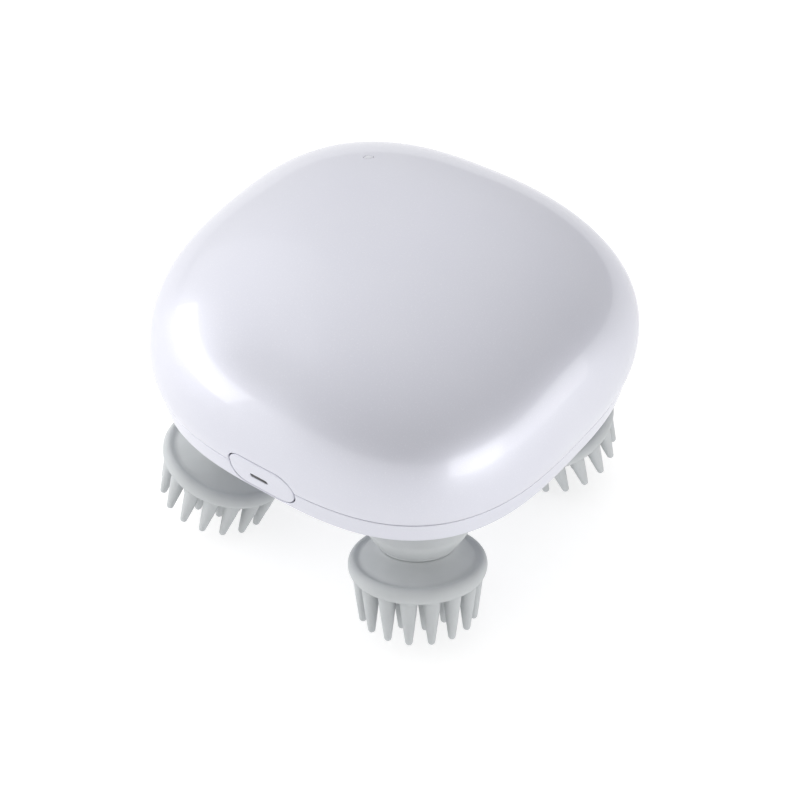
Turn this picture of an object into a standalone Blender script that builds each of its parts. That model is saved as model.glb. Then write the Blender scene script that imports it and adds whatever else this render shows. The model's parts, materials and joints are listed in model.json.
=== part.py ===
"""Cordless scalp massager with four wobbling silicone heads.

Lengths are in millimetres until make_object scales them to metres. +Z is up and the power button
faces -Y. At the end everything is raised by FLOOR_LIFT, so that the lowest finger tips stand at z = 0.
A bent crank turns under each corner of the casing. Its lower end, the pin, leans away from the vertical
and crosses the crank's axis at the pivot. A head rides on each pin, so it wobbles about the pivot, and
the boot around it keeps it from spinning.
"""

import math

import bmesh
import bpy
from mathutils import Matrix, Vector

MM = 0.001
GAP = 0.3
SMOOTH_ANGLE = math.radians(35)
FLOOR_LIFT = 1.3

# Casing: a rounded square in plan, a pebble from the side
HALF_WIDTH = 53.0
WIDTH_STRETCH = 0.02
BACK_FLARE = 0.04
EQUATOR_Z = 53.5
DOME_HEIGHT = 35.4
SEAM_DEPTH = 7.5
SKIRT_DEPTH = 13.9
SEAM_TAPER = 0.02
SKIRT_TAPER = 0.04
PLAN_POWER = 2.9
TOP_PLAN_POWER = 2.14
DOME_RISE_POWER = 2.17
DOME_PLAN_POWER = 2.49
WALL = 2.2
LIP = 1.2
GASKET_STEP = 1.1
CASING_POINTS = 44
OUTER_RINGS = 7
INNER_RINGS = 5
SEAM_Z = EQUATOR_Z - SEAM_DEPTH
BASE_Z = EQUATOR_Z - SKIRT_DEPTH
FLOOR_Z = BASE_Z + WALL
BASE_EDGE = 0.8
CASE_SCREW_X = 20.0
CASE_SCREW_Y = 43.9
CASE_BOSS_RADIUS = 3.0
SCREW_HOLE_RADIUS = 1.25
SCREW_SINK_RADIUS = 2.3
REST_PAD_HALF = 12.0
REST_PAD_DEPTH = 0.6

# Cranks and heads
GEAR_MODULE = 1.6
SUN_TEETH = 30
OUTPUT_TEETH = 15
PINION_TEETH = 8
CRANK_RADIUS = GEAR_MODULE * (SUN_TEETH + OUTPUT_TEETH) / 2
LEAN = math.radians(18.6)
CRANK_TURN = {1: -8, 2: -5, 3: 6, 4: 6}
PIVOT_Z = 36.0
SHAFT_RADIUS = 2.0
BORE_RADIUS = SHAFT_RADIUS + GAP
PIN_LENGTH = 17.5
BOOT_HOLE_RADIUS = 12.9
BOOT_TOP_RADIUS = 13.3
BOOT_NECK_RADIUS = 12.5
BOOT_FLANGE = (15.0, 1.0)
BOOT_WALL = 1.5
CORNERS = {1: -45, 2: -135, 3: 45, 4: 135}

# Massage head, with depths measured down its own axis from the pivot
WAIST_DEPTH = 14.6
WAIST_RADIUS = 9.4
RIM_RADIUS = 16.7
RIM_DEPTH = 20.9
CUP_BORE = 8.4
CUP_FLOOR_DEPTH = 19.6
FACE_DEPTH = 22.0
FINGER_END_DEPTH = 34.5
FINGER_ROOT_RADIUS = 2.1
FINGER_TIP_RADIUS = 1.0
FINGER_ROWS = ((13.6, 16), (7.4, 8))
FINGER_TURN = {1: 11.25, 2: 8.75, 3: 5.0, 4: 5.0}

# Gear train, in layers from the sun gear up to the motor. Tooth shares are of the pitch
ROOT_DEPTH = 1.15
TIP_HEIGHT = 0.85
ROOT_SHARE = 0.31
TIP_SHARE = 0.11
SUN_LAYER = (46.5, 51.0)
SECOND_LAYER = (54.7, 58.5)
FIRST_LAYER = (59.1, 62.5)
GEARBOX_FLOOR = (44.1, 45.9)
GEARBOX_COVER = (52.0, 54.0)
GEARBOX_HALF = 40.6
GEARBOX_CORNER = 15.6
GEARBOX_WALL = 1.3
MOTOR_PLATE = (63.3, 64.8)
MOTOR_CAN = (65.1, 78.6)
SECOND_TEETH = 20
SECOND_MODULE = 1.4
FIRST_TEETH = 24
FIRST_MODULE = 1.2
SECOND_X = GEAR_MODULE * (SUN_TEETH + PINION_TEETH) / 2
FIRST_X = SECOND_X - SECOND_MODULE * (SECOND_TEETH + PINION_TEETH) / 2
MOTOR_X = FIRST_X - FIRST_MODULE * (FIRST_TEETH + PINION_TEETH) / 2
MOTOR_RADIUS = 12.2
MOTOR_SCREW_Y = 8.0
THIN_AXLE = 1.0
MID_AXLE = 1.5
POSTS = ((-13.0, 18.0), (-13.0, -18.0), (36.0, 19.0), (36.0, -19.0))

# Button, charging socket and status light
BUTTON_HALF = (9.1, 4.5)
BUTTON_CORNER = 4.0
BUTTON_BACK_Y = -48.4
SWITCH_TIP_Y = -46.0
BUTTON_TRAVEL_GAP = 0.75
PORT_Z = 52.5
PORT_MOUTH_Y = 49.9
PLUG_FACE_Y = 51.8
LIGHT_AT = (-19.4, 18.2)
LIGHT_RADIUS = 1.1
LIGHT_FOOT_Z = 68.2
BATTERY_BOX = ((-45.0, -25.0, 56.3), (-19.4, 25.0, 64.6))
BOARD_Z = (66.6, 67.8)


def clear_scene():
    for item in list(bpy.data.objects):
        bpy.data.objects.remove(item, do_unlink=True)


def material(name, colour, roughness, metallic=0.0):
    made = bpy.data.materials.new(name)
    made.use_nodes = True
    shader = made.node_tree.nodes["Principled BSDF"]
    shader.inputs["Base Color"].default_value = (*colour, 1.0)
    shader.inputs["Roughness"].default_value = roughness
    shader.inputs["Metallic"].default_value = metallic
    return made


FINISHES = {
    "pearl": ((0.86, 0.86, 0.90), 0.18, 0.0),
    "silicone": ((0.62, 0.65, 0.66), 0.6, 0.0),
    "rubber": ((0.30, 0.31, 0.33), 0.7, 0.0),
    "acetal": ((0.88, 0.87, 0.82), 0.4, 0.0),
    "nylon": ((0.20, 0.21, 0.23), 0.5, 0.0),
    "steel": ((0.72, 0.73, 0.75), 0.25, 1.0),
    "brass": ((0.78, 0.62, 0.32), 0.3, 1.0),
    "board": ((0.05, 0.28, 0.16), 0.5, 0.0),
    "dark": ((0.03, 0.03, 0.035), 0.25, 0.0),
    "foil": ((0.55, 0.58, 0.62), 0.4, 0.0),
    "lens": ((0.70, 0.72, 0.76), 0.2, 0.0),
}


def mesh_from(name, points, faces):
    mesh = bpy.data.meshes.new(name)
    mesh.from_pydata([tuple(c * MM for c in p) for p in points], [], faces)
    cleaner = bmesh.new()
    cleaner.from_mesh(mesh)
    bmesh.ops.recalc_face_normals(cleaner, faces=cleaner.faces)
    cleaner.to_mesh(mesh)
    cleaner.free()
    return mesh


def make_object(name, solid, finish, frame=None):
    """A sub-part with its own material; frame places its local millimetres in the world."""
    made = bpy.data.objects.new(name, mesh_from(name, *solid))
    bpy.context.scene.collection.objects.link(made)
    frame = frame or Matrix.Identity(4)
    made.matrix_world = Matrix.Translation(frame.to_translation() * MM) @ frame.to_3x3().to_4x4()
    made.data.materials.append(material(name, *FINISHES[finish]))
    made.data.shade_smooth()
    made.data.set_sharp_from_angle(angle=SMOOTH_ANGLE)
    return made


def move_origin(item, spot):
    """Moves an object's origin and leaves its shape where it is."""
    offset = Vector(spot) * MM
    item.data.transform(Matrix.Translation(-offset))
    item.location = offset


def boolean(target, operation, label, solid, frame=None):
    """Cuts a solid from the target, or joins or intersects it, with a hidden helper object."""
    helper = make_object(f"{target.name}_{label}", solid, "dark", frame)
    helper.hide_render = True
    helper.display_type = "WIRE"
    change = target.modifiers.new(label, "BOOLEAN")
    change.operation = operation
    change.solver = "EXACT"
    change.object = helper


def cut(target, label, solid, frame=None):
    boolean(target, "DIFFERENCE", label, solid, frame)


def join(target, label, solid, frame=None):
    boolean(target, "UNION", label, solid, frame)


# Solids: each function returns points and faces

def loft(rings, closed=False):
    """Joins rings of points. The ends are capped, or the last ring meets the first when closed."""
    count = len(rings[0])
    points = [p for ring in rings for p in ring]
    spans = len(rings) if closed else len(rings) - 1
    faces = []
    for i in range(spans):
        low, high = i * count, (i + 1) % len(rings) * count
        for j in range(count):
            k = (j + 1) % count
            faces.append((low + j, low + k, high + k, high + j))
    if not closed:
        faces.append(tuple(range(count))[::-1])
        faces.append(tuple(range(len(points) - count, len(points))))
    return points, faces


def circle(radius, count, centre=(0.0, 0.0)):
    angles = [2 * math.pi * i / count for i in range(count)]
    return [(centre[0] + radius * math.cos(a), centre[1] + radius * math.sin(a)) for a in angles]


def lathe(profile, count=24, centre=(0.0, 0.0), closed=False):
    """Turns (radius, height) pairs about a vertical axis."""
    rings = [[(x, y, z) for x, y in circle(r, count, centre)] for r, z in profile]
    return loft(rings, closed)


def rod(radius, low, high, count=16, centre=(0.0, 0.0)):
    return lathe([(radius, low), (radius, high)], count, centre)


def box(low, high):
    corners = [(low[0], low[1]), (high[0], low[1]), (high[0], high[1]), (low[0], high[1])]
    return loft([[(x, y, z) for x, y in corners] for z in (low[2], high[2])])


def rounded_rectangle(half_x, half_y, radius, steps=4, centre=(0.0, 0.0)):
    points = []
    for quarter in range(4):
        sign_x = 1 if quarter in (0, 3) else -1
        sign_y = 1 if quarter in (0, 1) else -1
        for i in range(steps + 1):
            angle = (quarter + i / steps) * math.pi / 2
            points.append((
                centre[0] + sign_x * (half_x - radius) + radius * math.cos(angle),
                centre[1] + sign_y * (half_y - radius) + radius * math.sin(angle),
            ))
    return points


def plate(outline, low, high, holes=()):
    """A flat plate between two heights, with holes."""
    shape = bmesh.new()
    edges = []
    for loop in (outline, *holes):
        corners = [shape.verts.new((x, y, low)) for x, y in loop]
        for i, corner in enumerate(corners):
            edges.append(shape.edges.new((corner, corners[(i + 1) % len(corners)])))
    made = bmesh.ops.triangle_fill(shape, use_beauty=True, use_dissolve=False, edges=edges)
    faces = [g for g in made["geom"] if isinstance(g, bmesh.types.BMFace)]
    raised = bmesh.ops.extrude_face_region(shape, geom=faces, use_keep_orig=True)
    lifted = [g for g in raised["geom"] if isinstance(g, bmesh.types.BMVert)]
    bmesh.ops.translate(shape, vec=(0.0, 0.0, high - low), verts=lifted)
    shape.verts.index_update()
    points = [tuple(v.co) for v in shape.verts]
    faces = [tuple(v.index for v in f.verts) for f in shape.faces]
    shape.free()
    return points, faces


def facing_y(solid, y):
    """Stands a plate up: its height becomes the distance forward from y, along -Y."""
    points, faces = solid
    return [(px, y - pz, py) for px, py, pz in points], faces


def together(*solids):
    points, faces = [], []
    for more_points, more_faces in solids:
        start = len(points)
        points += more_points
        faces += [tuple(start + i for i in face) for face in more_faces]
    return points, faces


def at(spot):
    """A frame whose origin is on a vertical axis, at the floor's level."""
    return Matrix.Translation((*spot, 0.0))


# Gears: straight-flanked teeth with backlash

def gear_outline(teeth, module, phase):
    pitch = 2 * math.pi / teeth
    radius = module * teeth / 2
    root, tip = radius - ROOT_DEPTH * module, radius + TIP_HEIGHT * module
    points = []
    for i in range(teeth):
        middle = phase + i * pitch
        for r, share in ((root, -ROOT_SHARE), (tip, -TIP_SHARE), (tip, TIP_SHARE), (root, ROOT_SHARE)):
            angle = middle + share * pitch
            points.append((r * math.cos(angle), r * math.sin(angle)))
    return points


def meshed_phase(teeth, towards):
    """A tooth angle that puts a gap where the driver's tooth is; towards points from the driver."""
    return towards + math.pi - math.pi / teeth


def gear(teeth, module, phase, layer, bore):
    return plate(gear_outline(teeth, module, phase), *layer, [circle(bore, 12)])


# Casing surface

def casing_ring(height, inset=0.0):
    """The casing's outline at a height from the widest level, moved in by a wall's thickness."""
    half = HALF_WIDTH - inset
    rise = max(height, 0.0) / (DOME_HEIGHT - inset)
    scale = (1 - min(rise, 1.0) ** DOME_RISE_POWER) ** (1 / DOME_PLAN_POWER)
    if height < 0:
        scale = skirt_scale(-height)
    power = PLAN_POWER + (TOP_PLAN_POWER - PLAN_POWER) * rise**2
    ring = []
    for i in range(CASING_POINTS):
        turn = 2 * math.pi * i / CASING_POINTS
        cosine, sine = math.cos(turn), math.sin(turn)
        reach = half * scale * (abs(cosine) ** power + abs(sine) ** power) ** (-1 / power)
        y = reach * sine
        x = reach * cosine * (1 + WIDTH_STRETCH) * (1 + BACK_FLARE * y / HALF_WIDTH)
        ring.append((x, y * (1 - WIDTH_STRETCH), EQUATOR_Z + height))
    return ring


def skirt_scale(depth):
    if depth <= SEAM_DEPTH:
        return 1 - SEAM_TAPER * (depth / SEAM_DEPTH) ** 2
    share = (depth - SEAM_DEPTH) / (SKIRT_DEPTH - SEAM_DEPTH)
    return 1 - SEAM_TAPER - (SKIRT_TAPER - SEAM_TAPER) * share


def dome_rings(inset, steps):
    """Rings from the widest level up to just under the crown."""
    rings = []
    for i in range(steps):
        turn = math.pi / 2 * (i / steps) ** 0.9
        height = (DOME_HEIGHT - inset) * math.sin(turn) ** (2 / DOME_RISE_POWER)
        rings.append(casing_ring(height, inset))
    return rings


def crown(inset):
    top = EQUATOR_Z + DOME_HEIGHT - inset
    return [(0.0, 0.0, top)] * CASING_POINTS


def casing_volume():
    """The whole casing as one solid, for trimming what sits flush with its surface."""
    skirt = [casing_ring(-SKIRT_DEPTH), casing_ring(-SEAM_DEPTH), casing_ring(-SEAM_DEPTH / 2)]
    return weld(loft([*skirt, *dome_rings(0.0, OUTER_RINGS), crown(0.0)]))


def weld(solid):
    """Merges points that coincide and drops the faces that vanish."""
    points, faces = solid
    index, kept, moved = {}, [], []
    for p in points:
        key = tuple(round(c, 5) for c in p)
        if key not in index:
            index[key] = len(kept)
            kept.append(p)
        moved.append(index[key])
    welded = []
    for face in faces:
        loop = [moved[i] for i in face]
        loop = [v for i, v in enumerate(loop) if v != loop[i - 1]]
        if len(loop) > 2:
            welded.append(tuple(loop))
    return kept, welded


def button_outline(extra=0.0):
    half_x, half_z = BUTTON_HALF
    return rounded_rectangle(
        half_x + extra, half_z + extra, BUTTON_CORNER + extra, 5, (0.0, SEAM_Z)
    )


def button_prism(extra, front, back):
    return facing_y(plate(button_outline(extra), 0.0, back - front), back)


def slot_prism(half_x, half_z, front, back, steps=4):
    outline = rounded_rectangle(half_x, half_z, half_z - 0.01, steps, (0.0, PORT_Z))
    return facing_y(plate(outline, 0.0, back - front), back)


def screw_spots():
    return [(sx * CASE_SCREW_X, sy * CASE_SCREW_Y) for sy in (-1, 1) for sx in (-1, 1)]


def top_shell():
    step = SEAM_Z + GASKET_STEP - EQUATOR_Z
    outside = [casing_ring(GAP / 2 - SEAM_DEPTH), casing_ring(-SEAM_DEPTH / 2)]
    outside += dome_rings(0.0, OUTER_RINGS)
    inside = [*reversed(dome_rings(WALL, INNER_RINGS)), casing_ring(step, WALL)]
    lip = [casing_ring(step, LIP), casing_ring(GAP / 2 - SEAM_DEPTH, LIP)]
    shell = weld(loft([*outside, crown(0.0), crown(WALL), *inside, *lip], closed=True))
    made = make_object("top_shell", shell, "pearl")
    top_bosses(made)
    cut(made, "button_hole", button_prism(GAP, -60.0, -47.0))
    cut(made, "port_hole", slot_prism(4.8, 1.9, 45.0, 60.0))
    cut(made, "plug_seat", slot_prism(6.3, 3.0, 50.4, 60.0))
    light_hole = rod(LIGHT_RADIUS + GAP, 75.0, 95.0, 16, LIGHT_AT)
    cut(made, "light_hole", light_hole)


def top_bosses(shell):
    """Screw bosses, each tied to the side wall by a rib."""
    low, high = SEAM_Z + 0.4, 58.0
    for i, (x, y) in enumerate(screw_spots()):
        side = math.copysign(1.0, y)
        ends = sorted((y + side, side * 48.9))
        join(shell, f"rib_{i}", box((x - 0.8, ends[0], 47.5), (x + 0.8, ends[1], high - 1.0)))
        join(shell, f"boss_{i}", rod(CASE_BOSS_RADIUS, low, high, 10, (x, y)))
        cut(shell, f"pilot_{i}", rod(SCREW_HOLE_RADIUS, low - 1.0, high - 2.0, 8, (x, y)))


def base_shell():
    top, step = -GAP / 2 - SEAM_DEPTH, SEAM_Z - GASKET_STEP - EQUATOR_Z
    floor = FLOOR_Z - EQUATOR_Z
    centre_low = [(0.0, 0.0, BASE_Z)] * CASING_POINTS
    centre_high = [(0.0, 0.0, FLOOR_Z)] * CASING_POINTS
    skirt = [
        centre_low, casing_ring(-SKIRT_DEPTH, BASE_EDGE), casing_ring(BASE_EDGE - SKIRT_DEPTH),
        casing_ring(top), casing_ring(top, LIP), casing_ring(step, LIP), casing_ring(step, WALL),
        casing_ring(floor, WALL), centre_high,
    ]
    made = make_object("base_shell", weld(loft(skirt)), "pearl")
    pad = rounded_rectangle(REST_PAD_HALF, REST_PAD_HALF, 3.0)
    join(made, "rest_pad", plate(pad, BASE_Z - REST_PAD_DEPTH, BASE_Z + 1.0))
    for i, spot in enumerate(screw_spots()):
        join(made, f"boss_{i}", rod(CASE_BOSS_RADIUS, BASE_Z + 0.5, SEAM_Z, 10, spot))
        cut(made, f"screw_hole_{i}", rod(SCREW_HOLE_RADIUS, 30.0, 60.0, 8, spot))
        cut(made, f"screw_sink_{i}", rod(SCREW_SINK_RADIUS, 30.0, FLOOR_Z + 0.7, 12, spot))
    for i in CORNERS:
        cut(made, f"boot_hole_{i}", rod(BOOT_HOLE_RADIUS, 30.0, 60.0, 24, crank_spot(i)))
    cut(made, "button_hole", button_prism(GAP, -60.0, -47.0))


def case_gasket():
    """A soft ring inside the seam, broken only where the button passes."""
    low, high = -SEAM_DEPTH - GASKET_STEP + GAP, -SEAM_DEPTH + GASKET_STEP - GAP
    outer, inner = LIP + GAP, WALL + GAP
    rings = [casing_ring(low, outer), casing_ring(high, outer), casing_ring(high, inner)]
    rings.append(casing_ring(low, inner))
    made = make_object("case_gasket", loft(rings, closed=True), "rubber")
    cut(made, "button_gap", button_prism(2 * GAP, -60.0, -40.0))


def screw(name, spot, head_low, head_high, tip, head_radius=1.9, shank=0.95):
    """A vertical screw. Its head is below its shank when tip is above the head."""
    near = head_high if tip > head_high else head_low
    far = head_low if tip > head_high else head_high
    profile = [(head_radius, far), (head_radius, near), (shank, near), (shank, tip)]
    make_object(name, lathe(profile, 8, spot), "steel")


def case_screws():
    for i, spot in enumerate(screw_spots(), 1):
        screw(f"case_screw_{i}", spot, BASE_Z + 1.2, FLOOR_Z + 0.4, 55.0)


# Button, light and charging

def power_button():
    made = make_object("power_button", button_prism(0.0, -60.0, BUTTON_BACK_Y), "pearl")
    boolean(made, "INTERSECT", "casing_trim", casing_volume())
    stem_back = SWITCH_TIP_Y - BUTTON_TRAVEL_GAP
    stem = box((-2.0, BUTTON_BACK_Y - 0.5, SEAM_Z - 1.5), (2.0, stem_back, SEAM_Z + 1.5))
    join(made, "stem", stem)
    window = window_prism(2.4 + GAP, 0.35 + GAP, -60.0, -49.4)
    cut(made, "window_seat", window)
    move_origin(made, (0.0, BUTTON_BACK_Y, SEAM_Z))


def window_prism(half_x, half_z, front, back):
    outline = rounded_rectangle(half_x, half_z, half_z - 0.01, 3, (-0.8, SEAM_Z - 1.25))
    return facing_y(plate(outline, 0.0, back - front), back)


def button_light_window():
    bar = window_prism(2.4, 0.35, -60.0, -49.7)
    made = make_object("button_light_window", bar, "dark")
    boolean(made, "INTERSECT", "casing_trim", casing_volume())
    move_origin(made, (0.0, BUTTON_BACK_Y, SEAM_Z))


def button_switch():
    body = box((-2.2, -45.3, SEAM_Z - 2.2), (2.2, -43.5, SEAM_Z + 2.2))
    made = make_object("button_switch", body, "dark")
    plunger = facing_y(plate(circle(1.1, 12, (0.0, SEAM_Z)), 0.0, -SWITCH_TIP_Y - 45.0), -45.0)
    join(made, "plunger", plunger)


def button_board():
    outline = rounded_rectangle(7.0, 3.4, 1.0, 2, (0.0, SEAM_Z + 0.5))
    make_object("button_board", facing_y(plate(outline, 0.0, 1.2), -42.0), "board")


def status_light():
    pipe = rod(LIGHT_RADIUS, LIGHT_FOOT_Z, 95.0, 16, LIGHT_AT)
    made = make_object("status_light", pipe, "lens")
    boolean(made, "INTERSECT", "casing_trim", casing_volume())


def control_board():
    """The main board, notched to clear the motor."""
    outline = rounded_rectangle(13.5, 25.0, 1.5, 2, (-30.5, 0.0))
    made = make_object("control_board", plate(outline, *BOARD_Z), "board")
    notch = rod(MOTOR_RADIUS + 1.0, 60.0, 75.0, 24, (MOTOR_X, 0.0))
    cut(made, "motor_notch", notch)


def battery():
    low, high = BATTERY_BOX
    centre = ((low[0] + high[0]) / 2, (low[1] + high[1]) / 2)
    half = ((high[0] - low[0]) / 2, (high[1] - low[1]) / 2)
    outline = rounded_rectangle(*half, 2.0, 3, centre)
    make_object("battery_cell", plate(outline, low[2], high[2]), "foil")
    tray = box((low[0] + 1.0, low[1] - 2.0, 54.6), (high[0], high[1] + 2.0, 56.0))
    made = make_object("battery_cradle", tray, "nylon")
    for side in (-1, 1):
        ends = sorted((side * (half[1] + GAP), side * (half[1] + 2.0)))
        wall = box((low[0] + 4.0, ends[0], 55.0), (high[0] - 2.0, ends[1], BOARD_Z[0] - GAP))
        join(made, f"wall_{'left' if side < 0 else 'right'}", wall)


def usb_port():
    depth = PORT_MOUTH_Y - 42.4
    made = make_object("usb_port", slot_prism(4.5, 1.6, 42.4, PORT_MOUTH_Y), "steel")
    cavity = rounded_rectangle(4.15, 1.25, 1.2, 3, (0.0, PORT_Z))
    tongue = rounded_rectangle(3.35, 0.35, 0.1, 1, (0.0, PORT_Z))
    inside = facing_y(plate(cavity, 0.0, depth, [tongue]), PORT_MOUTH_Y + 1.0)
    cut(made, "cavity", inside)


def charge_board():
    outline = rounded_rectangle(8.0, 8.5, 1.0, 2, (0.0, 39.4))
    make_object("charge_board", plate(outline, PORT_Z + 1.95, PORT_Z + 3.15), "board")


def port_plug():
    flap = slot_prism(6.0, 2.7, 50.7, PLUG_FACE_Y)
    made = make_object("port_plug", flap, "silicone")
    join(made, "boss", slot_prism(4.5, 1.6, 50.2, 51.0))
    move_origin(made, (0.0, PORT_MOUTH_Y, PORT_Z))


# Motor and gear train

def drive_motor():
    low, high = MOTOR_CAN
    can = [
        (1.6, low + 4.0), (1.6, low - 1.4), (3.4, low - 1.4), (3.4, low), (MOTOR_RADIUS, low),
        (MOTOR_RADIUS, high - 0.8), (MOTOR_RADIUS - 0.8, high),
    ]
    made = make_object("drive_motor", lathe(can, 20, (MOTOR_X, 0.0)), "steel")
    for i, side in enumerate((-1, 1)):
        spot = (MOTOR_X, side * MOTOR_SCREW_Y)
        cut(made, f"thread_{i}", rod(1.2, low - 1.0, low + 3.0, 12, spot))


def motor_shaft():
    """The rotor's shaft, with the pinion pressed on it."""
    centre = (MOTOR_X, 0.0)
    outline = gear_outline(PINION_TEETH, FIRST_MODULE, meshed_phase(PINION_TEETH, math.pi))
    made = make_object("motor_pinion_shaft", plate(outline, *FIRST_LAYER), "brass", at(centre))
    shaft = rod(THIN_AXLE, FIRST_LAYER[0] + 1.0, MOTOR_CAN[0] + 3.6, 12)
    join(made, "shaft", shaft, at(centre))


def motor_plate():
    outline = rounded_rectangle(28.5, 23.0, 5.0, 3, (11.5, 0.0))
    holes = [circle(4.0, 16, (MOTOR_X, 0.0))]
    holes.append(circle(THIN_AXLE + GAP, 12, (FIRST_X, 0.0)))
    holes.append(circle(MID_AXLE + GAP, 12, (SECOND_X, 0.0)))
    for side in (-1, 1):
        holes.append(circle(1.25, 12, (MOTOR_X, side * MOTOR_SCREW_Y)))
    make_object("motor_plate", plate(outline, *MOTOR_PLATE, holes), "steel")


def motor_screws():
    for i, side in enumerate((-1, 1), 1):
        spot = (MOTOR_X, side * MOTOR_SCREW_Y)
        low = MOTOR_PLATE[0] - GAP
        screw(f"motor_screw_{i}", spot, low - 1.2, low, MOTOR_CAN[0] + 2.5, 1.8, 0.9)


def gearbox_base():
    outline = rounded_rectangle(GEARBOX_HALF, GEARBOX_HALF, GEARBOX_CORNER, 5)
    inner_half = GEARBOX_HALF - GEARBOX_WALL
    inner = rounded_rectangle(inner_half, inner_half, GEARBOX_CORNER - GEARBOX_WALL, 5)
    holes = [circle(3.5, 16, crank_spot(i)) for i in CORNERS]
    holes.append(circle(BORE_RADIUS, 12))
    holes.append(circle(MID_AXLE + GAP, 12, (SECOND_X, 0.0)))
    made = make_object("gearbox_base", plate(outline, *GEARBOX_FLOOR, holes), "nylon")
    join(made, "wall", plate(outline, GEARBOX_FLOOR[1] - 0.5, GEARBOX_COVER[0] - GAP, [inner]))


def gearbox_cover():
    outline = rounded_rectangle(GEARBOX_HALF, GEARBOX_HALF, GEARBOX_CORNER, 5)
    holes = [circle(BORE_RADIUS, 12, crank_spot(i)) for i in CORNERS]
    holes.append(circle(8.4, 20, (SECOND_X, 0.0)))
    holes.append(circle(THIN_AXLE + GAP, 12, (FIRST_X, 0.0)))
    made = make_object("gearbox_cover", plate(outline, *GEARBOX_COVER, holes), "nylon")
    for i, spot in enumerate(POSTS):
        post = rod(2.2, GEARBOX_COVER[0] + 1.0, MOTOR_PLATE[0] - GAP, 12, spot)
        join(made, f"post_{i}", post)


def headed_axle(name, radius, head, low, top, x):
    """A fixed axle with a flat head at its foot."""
    profile = [(head, low), (head, low + 0.6), (radius, low + 0.6), (radius, top)]
    make_object(name, lathe(profile, 12, (x, 0.0)), "steel")


def axles():
    headed_axle("sun_axle", SHAFT_RADIUS, 3.2, 43.2, 51.6, 0.0)
    headed_axle("second_gear_axle", MID_AXLE, 2.6, 43.2, 64.5, SECOND_X)
    headed_axle("first_gear_axle", THIN_AXLE, 2.0, 51.25, 64.5, FIRST_X)


def stepped_gear(name, centre, pinion, wheel, bore):
    """A wheel and a smaller pinion on one hub; each is (teeth, module, phase, layer)."""
    made = make_object(name, gear(*wheel, bore), "acetal", at(centre))
    teeth, module, phase, layer = pinion
    low, high = min(layer[0], wheel[3][0]), max(layer[1], wheel[3][1])
    hub_radius = module * (teeth / 2 - ROOT_DEPTH) - 0.1
    join(made, "hub", rod(hub_radius, low + 0.2, high - 0.2, 16), at(centre))
    join(made, "pinion", plate(gear_outline(teeth, module, phase), *layer), at(centre))
    cut(made, "bore", rod(bore, low - 2.0, high + 2.0, 12), at(centre))


def gears():
    sun = gear(SUN_TEETH, GEAR_MODULE, 0.0, SUN_LAYER, BORE_RADIUS)
    make_object("sun_gear", sun, "acetal")
    pinion = (PINION_TEETH, GEAR_MODULE, meshed_phase(PINION_TEETH, 0.0), SUN_LAYER)
    wheel = (SECOND_TEETH, SECOND_MODULE, 0.0, SECOND_LAYER)
    stepped_gear("second_gear", (SECOND_X, 0.0), pinion, wheel, MID_AXLE + GAP)
    pinion = (PINION_TEETH, SECOND_MODULE, meshed_phase(PINION_TEETH, math.pi), SECOND_LAYER)
    wheel = (FIRST_TEETH, FIRST_MODULE, 0.0, FIRST_LAYER)
    stepped_gear("first_gear", (FIRST_X, 0.0), pinion, wheel, THIN_AXLE + GAP)
    for i, corner in CORNERS.items():
        wheel = gear(OUTPUT_TEETH, GEAR_MODULE, output_phase(corner), SUN_LAYER, BORE_RADIUS)
        make_object(f"output_gear_{i}", wheel, "acetal", at(crank_spot(i)))


def output_phase(corner):
    """The sun gear has a tooth at angle zero, so the corner may fall anywhere in its pitch."""
    towards = math.radians(corner)
    share = towards * SUN_TEETH / (2 * math.pi) % 1.0
    return meshed_phase(OUTPUT_TEETH, towards) + share * 2 * math.pi / OUTPUT_TEETH


# Cranks, boots and heads

def crank_spot(i):
    angle = math.radians(CORNERS[i])
    return (CRANK_RADIUS * math.cos(angle), CRANK_RADIUS * math.sin(angle))


def crank_frame(i, lean=0.0):
    """At the pivot, local +X points the way the crank has turned, and -Z runs down the axis."""
    x, y = crank_spot(i)
    turn = Matrix.Rotation(math.radians(CORNERS[i] + CRANK_TURN[i]), 4, "Z")
    return Matrix.Translation((x, y, PIVOT_Z)) @ turn @ Matrix.Rotation(-lean, 4, "Y")


def crank_shaft(i):
    """A straight shaft bent at the pivot, with a blind screw hole up its lower end."""
    tilt = Matrix.Rotation(-LEAN, 4, "Y")
    half_tilt = Matrix.Rotation(-LEAN / 2, 4, "Y")
    top = GEARBOX_COVER[1] - 0.1 - PIVOT_Z
    sections = [
        (Matrix.Identity(4), top, SHAFT_RADIUS), (Matrix.Identity(4), 1.0, SHAFT_RADIUS),
        (half_tilt, 0.0, SHAFT_RADIUS), (tilt, -1.0, SHAFT_RADIUS),
        (tilt, -PIN_LENGTH, SHAFT_RADIUS), (tilt, -PIN_LENGTH, 1.2), (tilt, -PIN_LENGTH + 5.0, 1.2),
    ]
    rings = []
    for turn, height, radius in sections:
        rings.append([tuple(turn @ Vector((x, y, height))) for x, y in circle(radius, 12)])
    make_object(f"crank_shaft_{i}", loft(rings), "steel", crank_frame(i))


def crank_bearing(i):
    low, high = GEARBOX_FLOOR
    profile = [
        (BORE_RADIUS, low - 0.9), (4.2, low - 0.9), (4.2, low - GAP), (3.2, low - GAP),
        (3.2, high), (BORE_RADIUS, high),
    ]
    make_object(f"crank_bearing_{i}", lathe(profile, 12, crank_spot(i), closed=True), "brass")


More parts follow.
